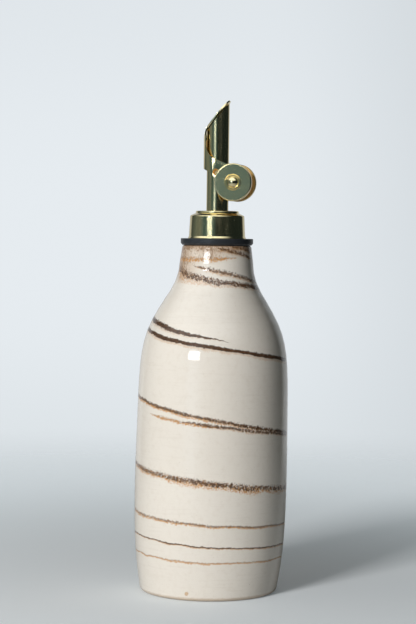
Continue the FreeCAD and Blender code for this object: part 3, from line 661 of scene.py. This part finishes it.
def thrown_tree(rows):
    """Turns a profile curve about the upright axis, with throwing rings, a lean and a little unevenness."""
    build = GeometryTree("thrown_body")
    build.value("Profile", "NodeSocketObject")
    build.value("Segments", "NodeSocketInt", SEGMENTS)
    build.value("Ring Pitch", "NodeSocketFloat", 0.0055)
    build.value("Ring Depth", "NodeSocketFloat", 0.00004)
    build.value("Unevenness", "NodeSocketFloat", 0.0001)
    build.value("Lean", "NodeSocketFloat", 0.014)
    build.value("Height", "NodeSocketFloat", 0.166)
    build.value("Seed", "NodeSocketFloat", SEED)
    build.value("Clay", "NodeSocketMaterial")
    build.tree.interface.new_socket("Geometry", in_out="OUTPUT", socket_type="NodeSocketGeometry")
    given = build.node("NodeGroupInput").outputs
    work = build.math

    corners = work("ADD", given["Segments"], 1)
    grid = build.node("GeometryNodeMeshGrid", None, {
        "Size X": 1.0, "Size Y": 1.0, "Vertices X": corners, "Vertices Y": rows})
    place = build.node("ShaderNodeSeparateXYZ", None, {
        0: build.node("GeometryNodeInputPosition").outputs[0]})
    turn = work("MULTIPLY", work("ADD", place.outputs[0], 0.5), TURN)
    along = work("ADD", place.outputs[1], 0.5)
    curve = build.node("GeometryNodeObjectInfo", None, {"Object": given["Profile"]}).outputs["Geometry"]
    row = work("ROUND", work("MULTIPLY", along, rows - 1.0))
    points = build.node("GeometryNodeCurveToPoints", {"mode": "EVALUATED"}, {"Curve": curve}).outputs[0]
    sample = build.node("GeometryNodeSampleIndex", {"data_type": "FLOAT_VECTOR", "domain": "POINT"})
    build.tree.links.new(points, sample.inputs["Geometry"])
    build.tree.links.new(build.node("GeometryNodeInputPosition").outputs[0], sample.inputs["Value"])
    build.tree.links.new(row, sample.inputs["Index"])
    profile = build.node("ShaderNodeSeparateXYZ", None, {0: sample.outputs[0]})
    radius, height = profile.outputs[0], profile.outputs[2]

    # Rings and unevenness fade out at the foot and the rim, and at the middle of the floor.
    share = work("DIVIDE", height, given["Height"])
    ends = work("MULTIPLY", work("MULTIPLY", share, work("SUBTRACT", 1.0, share)), 12.0)
    fade = work("MINIMUM", work("MINIMUM", ends, 1.0), work("MULTIPLY", radius, 120.0))
    circle_x, circle_y = work("COSINE", turn), work("SINE", turn)
    spot = build.node("ShaderNodeCombineXYZ", None, {
        0: work("MULTIPLY", circle_x, 0.9), 1: work("MULTIPLY", circle_y, 0.9),
        2: work("MULTIPLY", share, 5.0)})
    drift = build.node("ShaderNodeTexNoise", {"noise_dimensions": "4D"}, {
        "Vector": spot.outputs[0], "W": given["Seed"], "Scale": 1.3, "Detail": 2.0}).outputs[0]
    phase = work("DIVIDE", height, given["Ring Pitch"])
    wave = work("SINE", work("MULTIPLY", work("ADD", phase, work("MULTIPLY", drift, 1.4)), TURN))
    rings = work("MULTIPLY", work("SUBTRACT", wave, 1.0), given["Ring Depth"])
    stray = work("MULTIPLY", work("SUBTRACT", drift, 1.0), given["Unevenness"])
    wide = work("ADD", radius, work("MULTIPLY", work("ADD", rings, stray), fade))

    level_x = work("MULTIPLY", wide, circle_x)
    leaning_x = work("ADD", level_x, work("MULTIPLY", height, given["Lean"]))
    tipped = work("MULTIPLY", work("MULTIPLY", level_x, given["Lean"]), work("MULTIPLY", fade, -1.0))
    final = build.node("ShaderNodeCombineXYZ", None, {
        0: leaning_x, 1: work("MULTIPLY", wide, circle_y), 2: work("ADD", height, tipped)})
    turned = build.node("GeometryNodeSetPosition", None, {
        "Geometry": grid.outputs[0], "Position": final.outputs[0]}).outputs[0]
    joined = build.node("GeometryNodeMergeByDistance", None, {
        "Geometry": turned, "Distance": 0.000002}).outputs[0]
    smooth = build.node("GeometryNodeSetShadeSmooth", None, {0: joined}).outputs[0]
    real = build.node("GeometryNodeRealizeInstances", None, {0: smooth}).outputs[0]
    painted = build.node("GeometryNodeSetMaterial", None, {
        "Geometry": real, "Material": given["Clay"]}).outputs[0]
    build.node("NodeGroupOutput", None, {0: painted})
    return build


def thrown_bottle(settings, material):
    points = wall_profile(settings)
    line = bpy.data.curves.new("wall_profile", "CURVE")
    line.dimensions = "3D"
    spline = line.splines.new("POLY")
    spline.points.add(len(points) - 1)
    for spot, (radius, height) in zip(spline.points, points):
        spot.co = (radius, 0, height, 1)
    profile = bpy.data.objects.new("wall_profile", line)
    bpy.context.scene.collection.objects.link(profile)

    build = thrown_tree(len(points))
    holder = bpy.data.objects.new("thrown", bpy.data.meshes.new("thrown"))
    bpy.context.scene.collection.objects.link(holder)
    modifier = holder.modifiers.new("thrown", "NODES")
    modifier.node_group = build.tree
    given = {"Profile": profile, "Segments": SEGMENTS, "Ring Pitch": settings.ring_pitch,
             "Ring Depth": settings.ring_depth, "Unevenness": settings.unevenness,
             "Lean": LEAN, "Height": RIM_HEIGHT, "Seed": SEED, "Clay": material}
    for name, value in given.items():
        modifier[build.sockets[name].identifier] = value
    bottle = plain_copy(holder, "clay_bottle")
    bpy.data.objects.remove(profile)
    face_outwards(bottle.data)
    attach(bottle, BOTTLE_BODY)
    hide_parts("bottle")


# ------------------------------------------------------------------ mesh helpers

def plain_copy(source, name):
    """Turn an object with its modifiers into a plain mesh object, and drop the source."""
    bpy.context.view_layer.update()
    mesh = bpy.data.meshes.new_from_object(source.evaluated_get(bpy.context.evaluated_depsgraph_get()))
    mesh.name = name
    made = bpy.data.objects.new(name, mesh)
    bpy.context.scene.collection.objects.link(made)
    bpy.data.objects.remove(source)
    return made


def face_outwards(mesh):
    shape = bmesh.new()
    shape.from_mesh(mesh)
    bmesh.ops.recalc_face_normals(shape, faces=shape.faces)
    shape.to_mesh(mesh)
    shape.free()


def eased_copy(node, name, width, segments=3):
    """A copy of a CAD node with its sharp edges eased."""
    shape = bmesh.new()
    shape.from_mesh(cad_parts[node].data)
    bmesh.ops.remove_doubles(shape, verts=shape.verts, dist=0.000001)
    bmesh.ops.dissolve_limit(shape, angle_limit=math.radians(0.3), verts=shape.verts, edges=shape.edges)
    mesh = bpy.data.meshes.new(name)
    shape.to_mesh(mesh)
    shape.free()
    for face in mesh.polygons:
        face.use_smooth = True
    holder = bpy.data.objects.new("eased", mesh)
    bpy.context.scene.collection.objects.link(holder)
    bevel = holder.modifiers.new("eased", "BEVEL")
    bevel.width = width
    bevel.segments = segments
    bevel.limit_method = "ANGLE"
    bevel.angle_limit = math.radians(35)
    bevel.harden_normals = True
    eased = plain_copy(holder, name)
    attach(eased, FLAP_BODY)
    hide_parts(node)
    return eased


# ------------------------------------------------------------------ operators

class CLAY_OT_bottle(bpy.types.Operator):
    """Finish the thrown clay bottle"""

    bl_idname = "oil_bottle.bottle"
    bl_label = "Clay bottle"

    def execute(self, context):
        settings = context.scene.clay_settings
        thrown_bottle(settings, clay_material(settings))
        return {"FINISHED"}


class CLAY_OT_pourer(bpy.types.Operator):
    """Finish the stopper, the cap and the spout tube"""

    bl_idname = "oil_bottle.pourer"
    bl_label = "Pourer"

    def execute(self, context):
        settings = context.scene.brass_settings
        turned = brass_material("turned_brass", settings, settings.turned_roughness, turned=True)
        for name in ("cap", "spout_tube"):
            paint(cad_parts[name], turned)
        paint(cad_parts["stopper"], rubber_material())
        return {"FINISHED"}


class CLAY_OT_flap(bpy.types.Operator):
    """Finish the stamped flap, its two discs and the rivet"""

    bl_idname = "oil_bottle.flap"
    bl_label = "Pouring flap"

    def execute(self, context):
        settings = context.scene.brass_settings
        stamped = brass_material("stamped_brass", settings, settings.stamped_roughness)
        # Sheet and discs carry a painted orange reflection where brass faces brass.
        sheet = brass_material("sheet_brass", settings, settings.stamped_roughness, dull_and_reflecting=sheet_edges)
        disc_brass_reflecting = brass_material("disc_brass", settings, settings.stamped_roughness, dull_and_reflecting=disc_inside)
        paint(eased_copy("flap", "stamped_flap", 0.00028), sheet)
        paint(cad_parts["rivet"], stamped)
        for name in ("weight_near", "weight_far"):
            paint(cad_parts[name], disc_brass_reflecting)
        return {"FINISHED"}


class CLAY_OT_stage(bpy.types.Operator):
    """Set up the floor, the lamps and the camera"""

    bl_idname = "oil_bottle.stage"
    bl_label = "Stage"

    def execute(self, context):
        settings = context.scene.stage_settings
        set_colour_management(context.scene)
        make_floor()
        make_world(context.scene, settings)
        make_key_lamp(settings)
        make_camera(context.scene, settings)
        return {"FINISHED"}


def set_colour_management(scene):
    scene.view_settings.view_transform = "Standard"


FLOOR_RADIUS = 1.6
# How far the camera stands to the left of the middle of the foot.
CAMERA_SHIFT = 1.59 * MM
# The key lamp: distance from the upper body and size in metres, and power in watts.
KEY_DISTANCE = 1.2
KEY_SIZE = (0.28, 0.15)
KEY_POWER = 12.7
# Colours of the backdrop and of the room that the object mirrors; the lights in it are brighter than white.
WALL_BEHIND = (0.58, 0.60, 0.61)
BACKDROP_FOOT = (0.60, 0.65, 0.67)
BACKDROP_MIDDLE = (0.79, 0.835, 0.87)
BACKDROP_TOP = (0.745, 0.79, 0.825)
# Painted shade: the backdrop's right side is darkened where the object's shadow lies.
BACKDROP_SHADED_SIDE = (0.60, 0.645, 0.675)
ROOM_DARK = (0.016, 0.024, 0.026)
ROOM_NEARBY = (0.065, 0.125, 0.155)
ROOM_FAR_LEFT = (0.17, 0.20, 0.20)
SOFT_GLOW = (0.62, 0.82, 1.0)
CEILING_LIGHT = (1.5, 1.6, 1.65)
WINDOW_LIGHT = (17.0, 17.4, 17.8)
# Tint of the room's light on all that is not a mirror.
WARM_TINT = (1.00, 0.84, 0.74)


def make_floor():
    """Pale floor that fades into the background at its edge."""
    shape = bmesh.new()
    bmesh.ops.create_circle(shape, cap_ends=True, segments=96, radius=FLOOR_RADIUS)
    mesh = bpy.data.meshes.new("floor")
    shape.to_mesh(mesh)
    shape.free()
    floor = bpy.data.objects.new("floor", mesh)
    bpy.context.scene.collection.objects.link(floor)
    made, shader = new_material("pale_floor")
    where, (x, y, z) = shader.place()
    away = (x * x + y * y).math("SQRT")
    speckle = shader.noise(where, 6, 2)
    colour = shader.blend(speckle, (0.72, 0.74, 0.75, 1), (0.74, 0.76, 0.77, 1))
    glow = shader.node("ShaderNodeLightPath").outputs["Is Camera Ray"]
    surface = shader.node("ShaderNodeBsdfPrincipled", None, {
        "Base Color": colour, "Roughness": 0.7, "Emission Color": (0.75, 0.85, 0.9, 1),
        "Emission Strength": Amount(shader, glow) * shader.smooth(away, 0.05, 0.45, 0.12, 0.40)})
    clear = shader.node("ShaderNodeBsdfTransparent")
    fade = shader.smooth(away, 0.18, 0.75)
    mixed = shader.node("ShaderNodeMixShader", None, {0: fade, 1: surface.outputs[0], 2: clear.outputs[0]})
    shader.node("ShaderNodeOutputMaterial", None, {"Surface": mixed.outputs[0]})
    paint(floor, made)


def make_world(scene, settings):
    """Pale background for the view, and what is mirrored: a dim room in front and a pale wall behind."""
    world = bpy.data.worlds.new("studio")
    scene.world = world
    shader = Shader(world)
    direction = shader.node("ShaderNodeTexCoord").outputs["Generated"]
    parts = shader.node("ShaderNodeSeparateXYZ", None, {"Vector": direction})
    across, ahead, up = [Amount(shader, part) for part in parts.outputs]
    side = settings.view_side
    forward = ahead * math.cos(side) - across * math.sin(side)
    sideways = across * math.cos(side) + ahead * math.sin(side)
    bearing = shader.math("ARCTAN2", sideways, forward * -1.0) * (180 / math.pi)

    # Behind the object a pale wall, elsewhere a dark room with a tall soft glow and a small bright window.
    wall = shader.smooth(forward, 0.62, 0.80) * shader.smooth(up, 0.35, 0.65, 1, 0)
    low = shader.blend(shader.smooth(up, -0.23, -0.03), opaque(BACKDROP_FOOT), opaque(BACKDROP_MIDDLE))
    backdrop = shader.blend(shader.smooth(up, 0.02, 0.14), low, opaque(BACKDROP_TOP))
    # Painted shade: the right of the backdrop is darker.
    backdrop = shader.blend(shader.smooth(sideways, 0.02, 0.15) * 0.7, backdrop, opaque(BACKDROP_SHADED_SIDE))
    nearby = shader.smooth(bearing, -17, -3, 1, 0) * shader.smooth(bearing, -150, -70)
    far_left = shader.smooth(bearing, -80, -55, 1, 0) * shader.smooth(bearing, -150, -75)
    room = shader.blend(nearby, opaque(ROOM_DARK), opaque(ROOM_NEARBY))
    room = shader.blend(far_left, room, opaque(ROOM_FAR_LEFT))
    near_key = abs(bearing - settings.key_side * (180 / math.pi))
    glow = shader.smooth(near_key, 3, 16.5, 1, 0) * shader.smooth(up, -0.35, -0.05) * 0.90
    room = shader.blend(glow, room, opaque(SOFT_GLOW))
    height = abs(up - math.sin(settings.window_height))
    window = shader.smooth(near_key, 8.5, 9.5, 1, 0) * shader.smooth(height, 0.025, 0.034, 1, 0)
    around = shader.blend(wall, room, opaque(WALL_BEHIND))
    rays = shader.node("ShaderNodeLightPath").outputs
    mirrored = Amount(shader, rays["Is Glossy Ray"])
    around = shader.blend(mirrored, shader.vector("MULTIPLY", around, WARM_TINT), around)
    ceiling = shader.smooth(up, 0.35, 0.60) * shader.smooth(near_key, 40, 110, 1, 0)
    around = shader.blend(ceiling * mirrored, around, opaque(CEILING_LIGHT))
    around = shader.blend(window * mirrored, around, opaque(WINDOW_LIGHT))
    seen = Amount(shader, rays["Is Camera Ray"])
    colour = shader.blend(seen, around, backdrop)
    light = shader.node("ShaderNodeBackground", None, {"Color": colour, "Strength": 1.0})
    shader.node("ShaderNodeOutputWorld", None, {"Surface": light.outputs[0]})


def make_key_lamp(settings):
    """A soft lamp that faces the upper body; what mirrors see of it is in the world."""
    data = bpy.data.lights.new("key", "AREA")
    data.shape = "RECTANGLE"
    data.size, data.size_y = KEY_SIZE
    data.energy = KEY_POWER
    lamp = bpy.data.objects.new("key", data)
    bpy.context.scene.collection.objects.link(lamp)
    turn = settings.view_side + settings.key_side
    target = Vector((POURER_X, 0, RIM_HEIGHT * 0.7))
    level = math.cos(settings.key_height)
    away = Vector((math.sin(turn) * level, -math.cos(turn) * level, math.sin(settings.key_height)))
    lamp.location = target + away * KEY_DISTANCE
    lamp.rotation_euler = away.to_track_quat("Z", "Y").to_euler()
    lamp.visible_glossy = False


def make_camera(scene, settings):
    data = bpy.data.cameras.new("camera")
    data.lens = settings.focal_length
    data.sensor_width = 36
    camera = bpy.data.objects.new("camera", data)
    scene.collection.objects.link(camera)
    scene.camera = camera
    side = settings.view_side
    right = Vector((math.cos(side), math.sin(side), 0))
    back = Vector((math.sin(side), -math.cos(side), 0))
    level = back * settings.view_distance - right * CAMERA_SHIFT
    camera.location = level + Vector((0, 0, settings.eye_height))
    turn = Matrix.Rotation(side, 4, "Z") @ Matrix.Rotation(math.pi / 2 - settings.look_down, 4, "X")
    camera.rotation_euler = (turn @ Matrix.Rotation(settings.roll, 4, "Z")).to_euler()
    camera.data.clip_start = 0.01


class CLAY_PT_panel(bpy.types.Panel):
    """Lists the pieces and the stage"""

    bl_idname = "CLAY_PT_panel"
    bl_label = "Oil bottle"
    bl_space_type = "VIEW_3D"
    bl_region_type = "UI"
    bl_category = "Oil Bottle"

    def draw(self, context):
        for group in SETTINGS:
            settings = getattr(context.scene, group)
            box = self.layout.box()
            for name in settings.__annotations__:
                box.prop(settings, name)
        for operator in OPERATORS:
            self.layout.operator(operator.bl_idname)


SETTINGS = {
    "clay_settings": ClaySettings,
    "brass_settings": BrassSettings,
    "stage_settings": StageSettings,
}
OPERATORS = [CLAY_OT_bottle, CLAY_OT_pourer, CLAY_OT_flap, CLAY_OT_stage]


def register():
    for group in SETTINGS.values():
        bpy.utils.register_class(group)
    for name, group in SETTINGS.items():
        setattr(bpy.types.Scene, name, bpy.props.PointerProperty(type=group))
    for item in [*OPERATORS, CLAY_PT_panel]:
        bpy.utils.register_class(item)


def unregister():
    for item in reversed([*OPERATORS, CLAY_PT_panel]):
        bpy.utils.unregister_class(item)
    for name, group in SETTINGS.items():
        delattr(bpy.types.Scene, name)
        bpy.utils.unregister_class(group)


def main():
    register()
    bpy.ops.oil_bottle.bottle()
    bpy.ops.oil_bottle.pourer()
    bpy.ops.oil_bottle.flap()
    bpy.ops.oil_bottle.stage()


if __name__ == "__main__":
    main()
